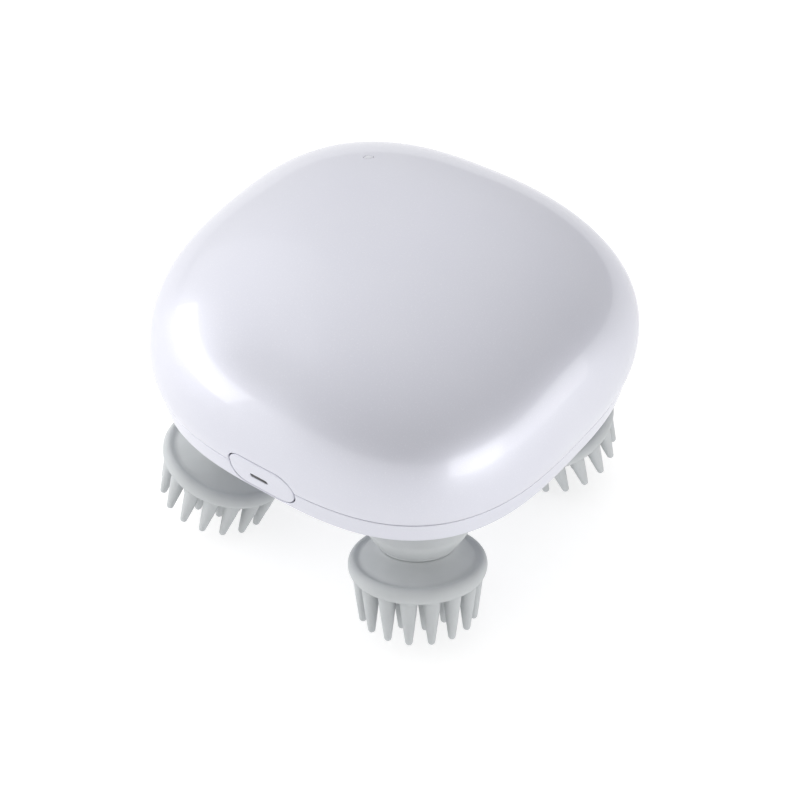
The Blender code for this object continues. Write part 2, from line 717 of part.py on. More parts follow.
def boot(i):
    """A flared sleeve, clamped inside the casing above and resting on the head's waist below."""
    upright, leaning = crank_frame(i), crank_frame(i, LEAN)
    flange_radius, flange_height = BOOT_FLANGE
    under = BASE_Z - GAP - PIVOT_Z
    ledge = FLOOR_Z + GAP - PIVOT_Z
    top = ledge + flange_height
    foot = -(WAIST_DEPTH - GAP)
    sections = [
        (upright, flange_radius, top), (upright, flange_radius, ledge), (upright, BOOT_NECK_RADIUS, ledge),
        (upright, BOOT_NECK_RADIUS, under + 0.2), (upright, BOOT_TOP_RADIUS, under),
        (leaning, WAIST_RADIUS, foot), (leaning, CUP_BORE, foot),
        (upright, BOOT_TOP_RADIUS - BOOT_WALL, under), (upright, BOOT_NECK_RADIUS - 1.2, top),
    ]
    rings = []
    for frame, radius, height in sections:
        rings.append([tuple(frame @ Vector((x, y, height))) for x, y in circle(radius, 16)])
    make_object(f"boot_{i}", loft(rings, closed=True), "silicone")


def head_hub(i):
    """The bearing that rides on the crank's pin and carries the soft head."""
    collar = CUP_BORE - GAP - 0.1
    profile = [
        (BORE_RADIUS, -3.5), (4.4, -3.5), (4.8, -10.0), (collar - 0.6, -10.6), (collar, -11.4),
        (collar, -PIN_LENGTH + 0.3), (BORE_RADIUS, -PIN_LENGTH + 0.3),
    ]
    make_object(f"head_hub_{i}", lathe(profile, 16, closed=True), "acetal", crank_frame(i, LEAN))


def hub_screw(i):
    under = -PIN_LENGTH - 0.2
    profile = [(3.2, under - 1.2), (3.2, under), (0.9, under), (0.9, -PIN_LENGTH + 4.5)]
    make_object(f"hub_screw_{i}", lathe(profile, 8), "steel", crank_frame(i, LEAN))


def massage_head(i):
    """A silicone cup with a raised rim and a crown of tapered fingers."""
    profile = [
        (CUP_BORE, -CUP_FLOOR_DEPTH), (CUP_BORE, -WAIST_DEPTH), (WAIST_RADIUS, -WAIST_DEPTH),
        (11.2, -16.4), (14.3, -18.3), (RIM_RADIUS - 1.8, -18.2), (RIM_RADIUS - 0.9, -18.4),
        (RIM_RADIUS - 0.2, -19.6), (RIM_RADIUS, -RIM_DEPTH), (RIM_RADIUS - 0.7, -FACE_DEPTH),
    ]
    made = make_object(f"massage_head_{i}", lathe(profile, 20), "silicone", crank_frame(i, LEAN))
    turned = Matrix.Rotation(math.radians(FINGER_TURN[i]), 4, "Z")
    join(made, "fingers", fingers(), crank_frame(i, LEAN) @ turned)


def fingers():
    parts = []
    for ring_radius, count in FINGER_ROWS:
        for centre in circle(ring_radius, count):
            ends = [(FINGER_ROOT_RADIUS, -FACE_DEPTH + 1.0), (FINGER_TIP_RADIUS, -FINGER_END_DEPTH)]
            parts.append(lathe(ends, 6, centre))
    return together(*parts)


def stand_on_floor():
    for item in bpy.data.objects:
        item.location.z += FLOOR_LIFT * MM


def main():
    clear_scene()
    top_shell()
    base_shell()
    case_gasket()
    case_screws()
    power_button()
    button_light_window()
    button_switch()
    button_board()
    status_light()
    control_board()
    battery()
    usb_port()
    charge_board()
    port_plug()
    drive_motor()
    motor_shaft()
    motor_plate()
    motor_screws()
    gearbox_base()
    gearbox_cover()
    axles()
    gears()
    for i in CORNERS:
        crank_shaft(i)
        crank_bearing(i)
        boot(i)
        head_hub(i)
        hub_screw(i)
        massage_head(i)
    stand_on_floor()


main()
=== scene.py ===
import json
import math

import bmesh
import bpy
from mathutils import Matrix, Vector


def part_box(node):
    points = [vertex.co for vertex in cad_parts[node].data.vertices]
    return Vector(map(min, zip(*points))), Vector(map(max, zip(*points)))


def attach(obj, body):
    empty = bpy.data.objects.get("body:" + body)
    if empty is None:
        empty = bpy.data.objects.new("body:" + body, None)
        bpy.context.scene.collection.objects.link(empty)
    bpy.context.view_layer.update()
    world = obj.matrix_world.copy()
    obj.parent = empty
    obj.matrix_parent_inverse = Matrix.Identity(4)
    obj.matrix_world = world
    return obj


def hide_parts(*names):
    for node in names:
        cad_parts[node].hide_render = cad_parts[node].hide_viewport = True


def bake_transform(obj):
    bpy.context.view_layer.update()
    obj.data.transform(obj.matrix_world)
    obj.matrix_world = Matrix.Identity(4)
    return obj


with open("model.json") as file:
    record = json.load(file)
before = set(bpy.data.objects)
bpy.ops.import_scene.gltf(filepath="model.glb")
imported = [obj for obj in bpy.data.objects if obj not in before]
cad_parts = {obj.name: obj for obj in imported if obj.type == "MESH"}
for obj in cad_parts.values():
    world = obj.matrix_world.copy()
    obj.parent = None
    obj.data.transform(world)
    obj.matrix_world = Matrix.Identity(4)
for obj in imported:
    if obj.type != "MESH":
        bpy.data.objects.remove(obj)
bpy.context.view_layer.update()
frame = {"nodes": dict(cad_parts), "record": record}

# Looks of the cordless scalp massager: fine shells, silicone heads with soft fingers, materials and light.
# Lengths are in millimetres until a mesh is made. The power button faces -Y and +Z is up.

MM = 0.001
GAP = 0.3
SHARP_ANGLE = math.radians(32)

# Casing surface
HALF_WIDTH = 53.0
WIDTH_STRETCH = 0.02
BACK_FLARE = 0.04
SEAM_DEPTH = 7.5
SKIRT_DEPTH = 13.9
SEAM_TAPER = 0.02
SKIRT_TAPER = 0.04
PLAN_POWER = 2.9
TOP_PLAN_POWER = 2.14
DOME_RISE_POWER = 2.17
DOME_PLAN_POWER = 2.49
WALL = 2.2
LIP = 1.2
GASKET_STEP = 1.1
SEAM_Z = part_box("top_shell")[0].z / MM - GAP / 2
EQUATOR_Z = SEAM_Z + SEAM_DEPTH
BASE_Z = EQUATOR_Z - SKIRT_DEPTH
FLOOR_Z = BASE_Z + WALL
DOME_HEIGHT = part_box("top_shell")[1].z / MM - EQUATOR_Z
CASING_POINTS = 288
DOME_RINGS = 64
INNER_RINGS = 24
SEAM_GAP = 0.2
SEAM_ROUND = 0.2
BASE_ROUND = 0.6

# Cranks and heads, with depths down the head's own axis from the pivot
CORNERS = {1: -45, 2: -135, 3: 45, 4: 135}
CRANK_RADIUS = 36.0
CRANK_TURN = {1: -8, 2: -5, 3: 6, 4: 6}
PIVOT_Z = 37.3
LEAN = math.radians(18.6)
HEAD_POINTS = 128
FACE_DEPTH = 22.0
FINGER_END = 34.5
FINGER_TURN = {1: 11.25, 2: 8.75, 3: 5.0, 4: 5.0}
FINGER_ROOT = 2.15
FINGER_TIP = 0.92
FINGER_BULGE = 1.12
FINGER_RINGS = 10
FILLET = 0.7
OUTER_ROW = (13.6, 16, 10.7, 16.3)
INNER_ROW = (7.4, 8, 3.9, 10.7)
RIM_FOOT_SLOPE = 0.3
BOOT_HOLE = 12.9
BOOT_FLANGE = 15.0
BOOT_NECK = 12.5
BOOT_INSIDE = 11.3
BOOT_TOP = 13.3
BOOT_FOOT = 9.5
BOOT_BORE = (8.5, 11.8)
BOOT_BEND = 0.6
BOOT_RINGS = (40, 20)
FOOT = -14.42


def mesh_object(name, points, faces, frame_at=None):
    """A smooth-shaded object from millimetre points, placed by a frame."""
    mesh = bpy.data.meshes.new(name)
    mesh.from_pydata([tuple(c * MM for c in p) for p in points], [], faces)
    cleaner = bmesh.new()
    cleaner.from_mesh(mesh)
    bmesh.ops.remove_doubles(cleaner, verts=cleaner.verts, dist=1e-7)
    bmesh.ops.recalc_face_normals(cleaner, faces=cleaner.faces)
    cleaner.to_mesh(mesh)
    cleaner.free()
    made = bpy.data.objects.new(name, mesh)
    bpy.context.scene.collection.objects.link(made)
    if frame_at is not None:
        made.matrix_world = Matrix.Translation(frame_at.to_translation() * MM) @ frame_at.to_3x3().to_4x4()
    smooth(made)
    return made


def smooth(item):
    item.data.shade_smooth()
    item.data.set_sharp_from_angle(angle=SHARP_ANGLE)


def carve(target, *changes):
    """Applies Boolean changes; each is (operation, helper object), and the helpers are removed."""
    for operation, helper in changes:
        change = target.modifiers.new(helper.name, "BOOLEAN")
        change.operation = operation
        change.solver = "EXACT"
        change.object = helper
    bpy.context.view_layer.update()
    graph = bpy.context.evaluated_depsgraph_get()
    shaped = bpy.data.meshes.new_from_object(target.evaluated_get(graph))
    target.modifiers.clear()
    target.data = shaped
    for _, helper in changes:
        bpy.data.objects.remove(helper, do_unlink=True)
    smooth(target)


def loft(rings, closed=False):
    """Joins rings of points; the last ring meets the first when closed, and the ends are capped when not."""
    count = len(rings[0])
    points = [p for ring in rings for p in ring]
    faces = []
    for i in range(len(rings) if closed else len(rings) - 1):
        low, high = i * count, (i + 1) % len(rings) * count
        for j in range(count):
            k = (j + 1) % count
            faces.append((low + j, low + k, high + k, high + j))
    if not closed:
        faces.append(tuple(range(count))[::-1])
        faces.append(tuple(range(len(points) - count, len(points))))
    return points, faces


def open_loft(rings):
    """A loft without its two end caps."""
    points, faces = loft(rings)
    return points, faces[:-2]


def arc(centre, radius, start, end, steps):
    """Points along an arc in a plane, with angles in degrees."""
    turns = [math.radians(start + (end - start) * i / steps) for i in range(steps + 1)]
    return [(centre[0] + radius * math.cos(t), centre[1] + radius * math.sin(t)) for t in turns]


def rounded(points, passes=2):
    """An open line with its corners cut, so that it reads as a smooth curve; its ends stay."""
    for _ in range(passes):
        cut = [points[0]]
        for a, b in zip(points, points[1:]):
            cut.append(tuple(0.75 * u + 0.25 * v for u, v in zip(a, b)))
            cut.append(tuple(0.25 * u + 0.75 * v for u, v in zip(a, b)))
        points = cut + [points[-1]]
    return points


def circle(radius, count, centre=(0.0, 0.0)):
    turns = [2 * math.pi * i / count for i in range(count)]
    return [(centre[0] + radius * math.cos(t), centre[1] + radius * math.sin(t)) for t in turns]


def lathe(profile, count, centre, closed=False):
    """Turns (radius, height) pairs about a vertical axis."""
    return loft([[(x, y, z) for x, y in circle(r, count, centre)] for r, z in profile], closed)


def rectangle(x_ends, y_ends):
    (left, right), (near, far) = x_ends, y_ends
    return [(left, near), (right, near), (right, far), (left, far)]


def rounded_rectangle(half_x, half_y, radius, steps=12, centre=(0.0, 0.0)):
    points = []
    for quarter in range(4):
        sign_x = 1 if quarter in (0, 3) else -1
        sign_y = 1 if quarter in (0, 1) else -1
        middle = (centre[0] + sign_x * (half_x - radius), centre[1] + sign_y * (half_y - radius))
        points += arc(middle, radius, quarter * 90, (quarter + 1) * 90, steps)
    return points


# Casing surface

def casing_ring(height, inset=0.0, count=CASING_POINTS):
    """The casing's outline at a height from its widest level, moved in by inset."""
    return [casing_point(2 * math.pi * i / count, height, inset) for i in range(count)]


def casing_point(turn, height, inset=0.0):
    half = HALF_WIDTH - inset
    rise = min(max(height, 0.0) / (DOME_HEIGHT - inset), 1.0)
    scale = (1 - rise**DOME_RISE_POWER) ** (1 / DOME_PLAN_POWER)
    if height < 0:
        scale = skirt_scale(-height)
    power = PLAN_POWER + (TOP_PLAN_POWER - PLAN_POWER) * rise**2
    cosine, sine = math.cos(turn), math.sin(turn)
    reach = half * scale * (abs(cosine) ** power + abs(sine) ** power) ** (-1 / power)
    y = reach * sine
    x = reach * cosine * (1 + WIDTH_STRETCH) * (1 + BACK_FLARE * y / HALF_WIDTH)
    return x, y * (1 - WIDTH_STRETCH), EQUATOR_Z + height


def skirt_scale(depth):
    if depth <= SEAM_DEPTH:
        return 1 - SEAM_TAPER * (depth / SEAM_DEPTH) ** 2
    share = (depth - SEAM_DEPTH) / (SKIRT_DEPTH - SEAM_DEPTH)
    return 1 - SEAM_TAPER - (SKIRT_TAPER - SEAM_TAPER) * share


def dome_rings(inset, steps):
    rings = []
    for i in range(steps):
        turn = math.pi / 2 * (i / steps) ** 0.9
        height = (DOME_HEIGHT - inset) * math.sin(turn) ** (2 / DOME_RISE_POWER)
        rings.append(casing_ring(height, inset))
    return rings


def side_y(x, z, side):
    """The casing surface's y at a place on its front (side -1) or back (side 1)."""
    low, high = (-math.pi / 2, math.pi / 2)
    for _ in range(40):
        middle = (low + high) / 2
        place = casing_point(side * math.pi / 2 - side * middle, z - EQUATOR_Z)
        if place[0] < x:
            low = middle
        else:
            high = middle
    return place[1]


def top_z(x, y):
    """The dome's height over a point near the crown."""
    low, high = 0.0, DOME_HEIGHT
    reach = math.hypot(x, y)
    for _ in range(40):
        middle = (low + high) / 2
        place = casing_point(math.atan2(y, x), middle)
        if math.hypot(place[0], place[1]) > reach:
            low = middle
        else:
            high = middle
    return EQUATOR_Z + low


def crown(inset):
    return [(0.0, 0.0, EQUATOR_Z + DOME_HEIGHT - inset)] * CASING_POINTS


def at_heights(heights, inset=0.0):
    return [casing_ring(h, inset) for h in heights]


def spread(start, end, count):
    return [start + (end - start) * i / (count - 1) for i in range(count)]


def seam_edge(level, direction):
    """Rings that round an edge of the seam, from the outer face to the edge's flat."""
    centre = (SEAM_ROUND, level + direction * SEAM_ROUND)
    corner = arc(centre, SEAM_ROUND, 180, 180 + direction * 90, 4)
    return [casing_ring(height, inset) for inset, height in corner]


# Openings on the casing, cut with mouths that round over the edge: (depth, how much wider) pairs

MOUTH = ((-1.2, 0.75), (-0.1, 0.33), (-0.02, 0.2), (0.05, 0.12), (0.14, 0.05), (0.26, 0.0))
THROUGH = 6.0


def side_cutter(name, outline, side, depth=THROUGH):
    """A cutter through the casing's front or back; outline(extra) gives its (x, z) edge."""
    rings = []
    for down, extra in (*MOUTH, (depth, 0.0)):
        ring = []
        for x, z in outline(extra):
            ring.append((x, side_y(x, z, side) - side * down, z))
        rings.append(ring)
    return mesh_object(name, *loft(rings))


def top_cutter(name, centre, radius):
    rings = []
    for down, extra in (*MOUTH, (THROUGH, 0.0)):
        ring = circle(radius + extra * 0.6, LIGHT_POINTS, centre)
        rings.append([(x, y, top_z(x, y) - down) for x, y in ring])
    return mesh_object(name, *loft(rings))


def pill(extra):
    return rounded_rectangle(
        BUTTON_HALF[0] + extra, BUTTON_HALF[1] + extra, BUTTON_CORNER + extra, 14, (0.0, BUTTON_MIDDLE_Z)
    )


def port_slot(half_x, half_z, extra=0.0):
    return rounded_rectangle(half_x + extra, half_z + extra, half_z + extra - 0.01, 16, (0.0, PORT_Z))


BUTTON_HALF = (9.1, 4.95)
BUTTON_CORNER = 4.3
BUTTON_MIDDLE_Z = SEAM_Z - 0.45
BUTTON_GAP = 0.28
DASH_HALF = (2.45, 0.55)
DASH_CENTRE = (-0.8, SEAM_Z - 1.25)
PORT_Z = SEAM_Z + 6.5
STEM_HALF = (2.0, 1.5)
STEM_END_Y = -46.75
PORT_SEAT = (6.15, 2.85)
SEAT_DEPTH = 1.6
PORT_HOLE = (4.8, 1.9)
PLUG_HALF = (6.0, 2.7)
LIGHT_AT = (-19.4, 18.2)
LIGHT_RADIUS = 1.15
LIGHT_POINTS = 48
REST_PAD_HALF = 12.0
REST_PAD_CORNER = 3.0
REST_PAD_DEPTH = 0.6

# Case screws: their places, bosses and ribs, and their own radii
CASE_SCREWS = [(sx * 20.0, sy * 43.9) for sy in (-1, 1) for sx in (-1, 1)]
SCREW_POINTS = 32
PILOT_RADIUS = 1.25
BOSS_RADIUS = 3.0
RIB_HALF = 0.8
RIB_REACH = (2.6, 48.9)
SINK_RADIUS = 2.3
SCREW_HEAD_RADIUS = 1.9
SCREW_RADIUS = 0.95
SCREW_END_Z = SEAM_Z + 9.0
CROSS_HALF = (1.1, 0.22)
UNDER_ALL = 30.0


def top_shell():
    edge = SEAM_GAP / 2 - SEAM_DEPTH
    step = GASKET_STEP - SEAM_DEPTH
    outside = seam_edge(edge, 1)[::-1]
    outside += at_heights(spread(edge + SEAM_ROUND, 0.0, 10)[1:-1]) + dome_rings(0.0, DOME_RINGS)
    inside = dome_rings(WALL, INNER_RINGS)[::-1] + [casing_ring(step, WALL)]
    lip = [casing_ring(step, LIP), casing_ring(edge, LIP)]
    rings = [*outside, crown(0.0), crown(WALL), *inside, *lip]
    shell = mesh_object("top_shell_fine", *loft(rings, closed=True))
    holes = [
        side_cutter("cut_button", lambda extra: pill(BUTTON_GAP + extra), -1),
        side_cutter("cut_seat", lambda extra: port_slot(*PORT_SEAT, extra), 1, SEAT_DEPTH),
        side_cutter("cut_port", lambda extra: port_slot(*PORT_HOLE), 1),
        top_cutter("cut_light", LIGHT_AT, LIGHT_RADIUS + 0.03),
    ]
    changes = [("UNION", solid) for solid in screw_bosses()]
    changes += [("DIFFERENCE", hole) for hole in holes]
    carve(shell, *changes)
    finished(shell, "casing", "pearl_shell", PEARL, "top_shell")


def screw_bosses():
    """Inner bosses for the case screws, each tied to the side wall by a rib."""
    low, high = SEAM_Z + 0.4, SEAM_Z + 12.0
    pilot_end = high - 2.0
    tube = [
        (PILOT_RADIUS, low), (BOSS_RADIUS, low), (BOSS_RADIUS, high), (0.0, high),
        (0.0, pilot_end), (PILOT_RADIUS, pilot_end),
    ]
    solids = []
    for i, (x, y) in enumerate(CASE_SCREWS):
        side = math.copysign(1.0, y)
        solids.append(mesh_object(f"boss_{i}", *lathe(tube, SCREW_POINTS, (x, y), closed=True)))
        ends = sorted((y + side * RIB_REACH[0], side * RIB_REACH[1]))
        corners = rectangle((x - RIB_HALF, x + RIB_HALF), ends)
        rib = [[(cx, cy, z) for cx, cy in corners] for z in (SEAM_Z + 1.5, high - 1.0)]
        solids.append(mesh_object(f"rib_{i}", *loft(rib)))
    return solids


def base_shell():
    edge = -SEAM_GAP / 2 - SEAM_DEPTH
    step = -GASKET_STEP - SEAM_DEPTH
    floor = WALL - SKIRT_DEPTH
    centre_low = [(0.0, 0.0, BASE_Z)] * CASING_POINTS
    centre_high = [(0.0, 0.0, FLOOR_Z)] * CASING_POINTS
    bottom = [centre_low, casing_ring(-SKIRT_DEPTH, 12.0), casing_ring(-SKIRT_DEPTH, BASE_ROUND + 0.6)]
    for inset, height in arc((BASE_ROUND, BASE_ROUND - SKIRT_DEPTH), BASE_ROUND, 270, 180, 8):
        bottom.append(casing_ring(height, inset))
    skirt = at_heights(spread(BASE_ROUND - SKIRT_DEPTH, edge - SEAM_ROUND, 8)[1:-1]) + seam_edge(edge, -1)
    inside = [casing_ring(edge, LIP), casing_ring(step, LIP), casing_ring(step, WALL)]
    inside += [casing_ring(floor, WALL), centre_high]
    shell = mesh_object("base_shell_fine", *loft([*bottom, *skirt, *inside], closed=False))
    carve(shell, ("UNION", rest_pad()), *screw_seats(), *boot_holes(), ("DIFFERENCE", button_notch()))
    finished(shell, "casing", "pearl_shell", PEARL, "base_shell")


def screw_seats():
    """A boss for each case screw, then its sink and through hole."""
    boss = [(0.0, BASE_Z + 0.5), (BOSS_RADIUS, BASE_Z + 0.5), (BOSS_RADIUS, SEAM_Z), (0.0, SEAM_Z)]
    sink = [
        (0.0, UNDER_ALL), (SINK_RADIUS + 0.3, UNDER_ALL), (SINK_RADIUS + 0.3, BASE_Z - 0.2),
        (SINK_RADIUS + 0.2, BASE_Z + 0.02), (SINK_RADIUS, BASE_Z + 0.2), (SINK_RADIUS, FLOOR_Z + 0.7),
        (PILOT_RADIUS, FLOOR_Z + 0.7), (PILOT_RADIUS, SEAM_Z + 14.0), (0.0, SEAM_Z + 14.0),
    ]
    changes = []
    for i, place in enumerate(CASE_SCREWS):
        changes.append(("UNION", mesh_object(f"base_boss_{i}", *lathe(boss, SCREW_POINTS, place))))
        changes.append(("DIFFERENCE", mesh_object(f"sink_{i}", *lathe(sink, SCREW_POINTS, place))))
    return changes


def boot_holes():
    hole = [(0.0, UNDER_ALL), (BOOT_HOLE, UNDER_ALL), (BOOT_HOLE, 2 * UNDER_ALL), (0.0, 2 * UNDER_ALL)]
    changes = []
    for i in CORNERS:
        changes.append(("DIFFERENCE", mesh_object(f"boot_hole_{i}", *lathe(hole, 96, crank_spot(i)))))
    return changes


def button_notch():
    return side_cutter("cut_button_low", lambda extra: pill(BUTTON_GAP + extra), -1)


def rest_pad():
    rings = []
    for inset, z in ((0.5, 0.0), (0.15, 0.12), (0.0, 0.4), (0.0, 1.6)):
        half = REST_PAD_HALF - inset
        outline = rounded_rectangle(half, half, REST_PAD_CORNER - inset, 8)
        rings.append([(x, y, BASE_Z - REST_PAD_DEPTH + z) for x, y in outline])
    return mesh_object("rest_pad", *loft(rings))


def gasket():
    """A soft ring between the shells, broken where the button passes."""
    outer, inner = LIP + GAP, WALL + GAP
    half = GASKET_STEP - GAP
    section = rounded_rectangle((inner - outer) / 2, half, 0.25, 2, ((inner + outer) / 2, -SEAM_DEPTH))
    ring = mesh_object("gasket_fine", *loft([casing_ring(h, inset) for inset, h in section], closed=True))
    room = side_cutter("cut_gasket", lambda extra: pill(2 * GAP), -1, 2 * THROUGH)
    carve(ring, ("DIFFERENCE", room))
    finished(ring, "casing", "dark_rubber", RUBBER, "case_gasket")


# Button, plug and light

def power_button():
    """A pill whose face follows the casing, with a rounded edge and a window for its light."""
    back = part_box("power_button")[0].y / MM + 3.6
    rings = [[(x, back, z) for x, z in pill(0.0)]]
    for down, inset in ((0.6, 0.0), (0.3, 0.0), (0.16, 0.03), (0.06, 0.1), (0.0, 0.22), (-0.03, 0.4)):
        rings.append([(x, side_y(x, z, -1) + down, z) for x, z in pill(-inset)])
    for share in (0.86, 0.74, 0.6, 0.45, 0.3, 0.15, 0.0):
        ring = []
        for x, z in pill(-0.4):
            x, z = x * share, BUTTON_MIDDLE_Z + (z - BUTTON_MIDDLE_Z) * share
            ring.append((x, side_y(x, z, -1) - 0.04, z))
        rings.append(ring)
    made = mesh_object("power_button_fine", *loft(rings))
    half_x, half_z = STEM_HALF
    corners = rectangle((-half_x, half_x), (SEAM_Z - half_z, SEAM_Z + half_z))
    stem = [[(x, y, z) for x, z in corners] for y in (back - 0.5, STEM_END_Y)]
    window = side_cutter("cut_window", lambda extra: dash(0.06 + extra * 0.5), -1, 1.0)
    carve(made, ("UNION", mesh_object("stem", *loft(stem))), ("DIFFERENCE", window))
    finished(made, "button", "pearl_shell", PEARL, "power_button")


def dash(extra):
    half_x, half_z = DASH_HALF
    return rounded_rectangle(half_x + extra, half_z + extra, half_z + extra - 0.01, 8, DASH_CENTRE)


def button_window():
    rings = []
    for down, inset in ((0.9, 0.0), (0.2, 0.0), (0.1, 0.03), (0.06, 0.1)):
        rings.append([(x, side_y(x, z, -1) + down, z) for x, z in dash(-inset)])
    made = mesh_object("button_window_fine", *loft(rings))
    finished(made, "button", "dark_lens", SMOKED, "button_light_window")


def status_light():
    """A light pipe that ends flush with the dome, slightly domed itself."""
    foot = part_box("status_light")[0].z / MM
    rings = [[(x, y, foot) for x, y in circle(LIGHT_RADIUS, LIGHT_POINTS, LIGHT_AT)]]
    for down, share in ((0.2, 1.0), (0.06, 0.97), (0.0, 0.9), (-0.02, 0.7), (-0.03, 0.4), (-0.03, 0.0)):
        ring = circle(LIGHT_RADIUS * share, LIGHT_POINTS, LIGHT_AT)
        rings.append([(x, y, top_z(x, y) - down) for x, y in ring])
    made = mesh_object("status_light_fine", *loft(rings))
    finished(made, "casing", "light_lens", LENS, "status_light")


def port_plug():
    """A soft flap in its seat, with a boss that fills the socket's mouth and a nail ledge."""
    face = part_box("port_plug")[1].y / MM
    rings = []
    for y, inset in ((face - 1.6, 1.55), (face - 1.1, 1.5), (face - 1.1, 0.0), (face - 0.25, 0.0)):
        rings.append([(x, y, z) for x, z in port_slot(*PLUG_HALF, -inset)])
    for y, inset in ((face - 0.1, 0.08), (face, 0.3), (face, 0.7), (face - 0.05, 1.2), (face - 0.05, 2.0)):
        rings.append([(x, y, z) for x, z in port_slot(*PLUG_HALF, -inset)])
    made = mesh_object("port_plug_fine", *loft(rings))
    ledge = []
    for y, half_x in ((face - 0.45, 1.4), (face + 0.3, 2.2)):
        ledge.append([(x, y, z - 1.75) for x, z in port_slot(half_x, 0.3)])
    carve(made, ("DIFFERENCE", mesh_object("ledge", *loft(ledge))))
    finished(made, "plug", "light_grey_silicone", SILICONE, "port_plug")


# Cranks, boots and heads

def crank_spot(i):
    turn = math.radians(CORNERS[i])
    return CRANK_RADIUS * math.cos(turn), CRANK_RADIUS * math.sin(turn)


def crank_frame(i, lean=0.0):
    """At the pivot, local +X points the way the crank has turned, and -Z runs down the axis."""
    turn = Matrix.Rotation(math.radians(CORNERS[i] + CRANK_TURN[i]), 4, "Z")
    return Matrix.Translation((*crank_spot(i), PIVOT_Z)) @ turn @ Matrix.Rotation(-lean, 4, "Y")


def face_depth(radius):
    """The soft head's underside: flat in the middle, and turned up towards the rim."""
    over = max(radius - OUTER_ROW[3] + 1.4, 0.0)
    return FACE_DEPTH - RIM_FOOT_SLOPE * (over / 1.4) ** 2


def ring_angle(j):
    return 2 * math.pi * j / HEAD_POINTS


def head_ring(radius, depth):
    return [(x, y, -depth) for x, y in circle(radius, HEAD_POINTS)]


def cell_edge(row, k, across=6):
    """The closed line around one finger's share of the underside."""
    _, count, inner, outer = row
    wide = HEAD_POINTS // count
    first, last = k * wide - wide // 2, k * wide + wide // 2
    edge = [(outer, ring_angle(j)) for j in range(first, last)]
    edge += [(outer + (inner - outer) * s / across, ring_angle(last)) for s in range(across)]
    edge += [(inner, ring_angle(j)) for j in range(last, first, -1)]
    edge += [(inner + (outer - inner) * s / across, ring_angle(first)) for s in range(across)]
    return [(r * math.cos(t), r * math.sin(t)) for r, t in edge]


def finger(row, k):
    """Rings from the edge of a finger's share of the underside, over a fillet, to its round tip."""
    turn = 2 * math.pi * k / row[1]
    centre = Vector((row[0] * math.cos(turn), row[0] * math.sin(turn)))
    edge = [Vector(p) for p in cell_edge(row, k)]
    rings = [[(p.x, p.y, -face_depth(p.length)) for p in edge]]
    spokes = []
    for p in edge:
        away = p - centre
        room = away.length - FINGER_ROOT
        spokes.append((away.normalized(), min(FILLET, 0.85 * room)))
    for step in range(6):
        bend = math.radians(90 * step / 5)
        ring = []
        for spoke, width in spokes:
            p = centre + spoke * (FINGER_ROOT + width * (1 - math.sin(bend)))
            ring.append((p.x, p.y, -face_depth(p.length) - FILLET * (1 - math.cos(bend))))
        rings.append(ring)
    return rings + finger_shaft(centre, spokes, rings[-1])


def finger_shaft(centre, spokes, root):
    rings = []
    tip_start = FINGER_END - FINGER_TIP
    for step in range(1, FINGER_RINGS + 1):
        share = step / FINGER_RINGS
        radius = FINGER_ROOT + (FINGER_TIP - FINGER_ROOT) * share**FINGER_BULGE
        ring = []
        for (spoke, _), foot in zip(spokes, root):
            p = centre + spoke * radius
            ring.append((p.x, p.y, foot[2] + (-tip_start - foot[2]) * share))
        rings.append(ring)
    for step in range(1, 6):
        bend = math.radians(90 * step / 5)
        radius = FINGER_TIP * math.cos(bend)
        depth = tip_start + FINGER_TIP * math.sin(bend)
        rings.append([(centre.x + s.x * radius, centre.y + s.y * radius, -depth) for s, _ in spokes])
    return rings


# From the pocket for the hub, over the waist's lip and the groove, to the underside's edge
CUP_LINE = [
    (0.0, 19.6), (7.7, 19.6), (8.4, 19.3), (8.4, 18.6), (8.4, 15.2), (8.5, 14.75), (8.75, 14.62),
    (9.1, 14.64), (9.35, 14.85), (9.6, 15.25), (10.2, 15.85), (11.1, 16.5), (12.1, 17.15), (13.0, 17.75),
    (13.6, 18.2), (14.1, 18.4), (14.6, 18.3), (15.15, 18.1), (15.75, 18.2), (16.3, 18.7), (16.6, 19.4),
    (16.7, 20.1), (16.65, 20.8), (16.45, 21.4), (16.2, 21.8),
]


def massage_head_mesh():
    """One closed surface: pocket, cup, rim, underside and fingers."""
    edge = OUTER_ROW[3]
    profile = rounded(CUP_LINE) + [(edge, face_depth(edge))]
    parts = [open_loft([head_ring(r, depth) for r, depth in profile])]
    for row in (OUTER_ROW, INNER_ROW):
        parts += [open_loft(finger(row, k)) for k in range(row[1])]
    middle = [head_ring(INNER_ROW[2] * share, FACE_DEPTH) for share in (1.0, 0.7, 0.4, 0.0)]
    parts.append(open_loft(middle))
    points, faces = [], []
    for more_points, more_faces in parts:
        start = len(points)
        points += more_points
        faces += [tuple(start + v for v in face) for face in more_faces]
    return points, faces


def massage_heads():
    solid = massage_head_mesh()
    for i in CORNERS:
        place = crank_frame(i, LEAN) @ Matrix.Rotation(math.radians(FINGER_TURN[i]), 4, "Z")
        made = mesh_object(f"massage_head_{i}_fine", *solid, place)
        finished(made, f"soft_head_{i}", "light_grey_silicone", SILICONE, f"massage_head_{i}")


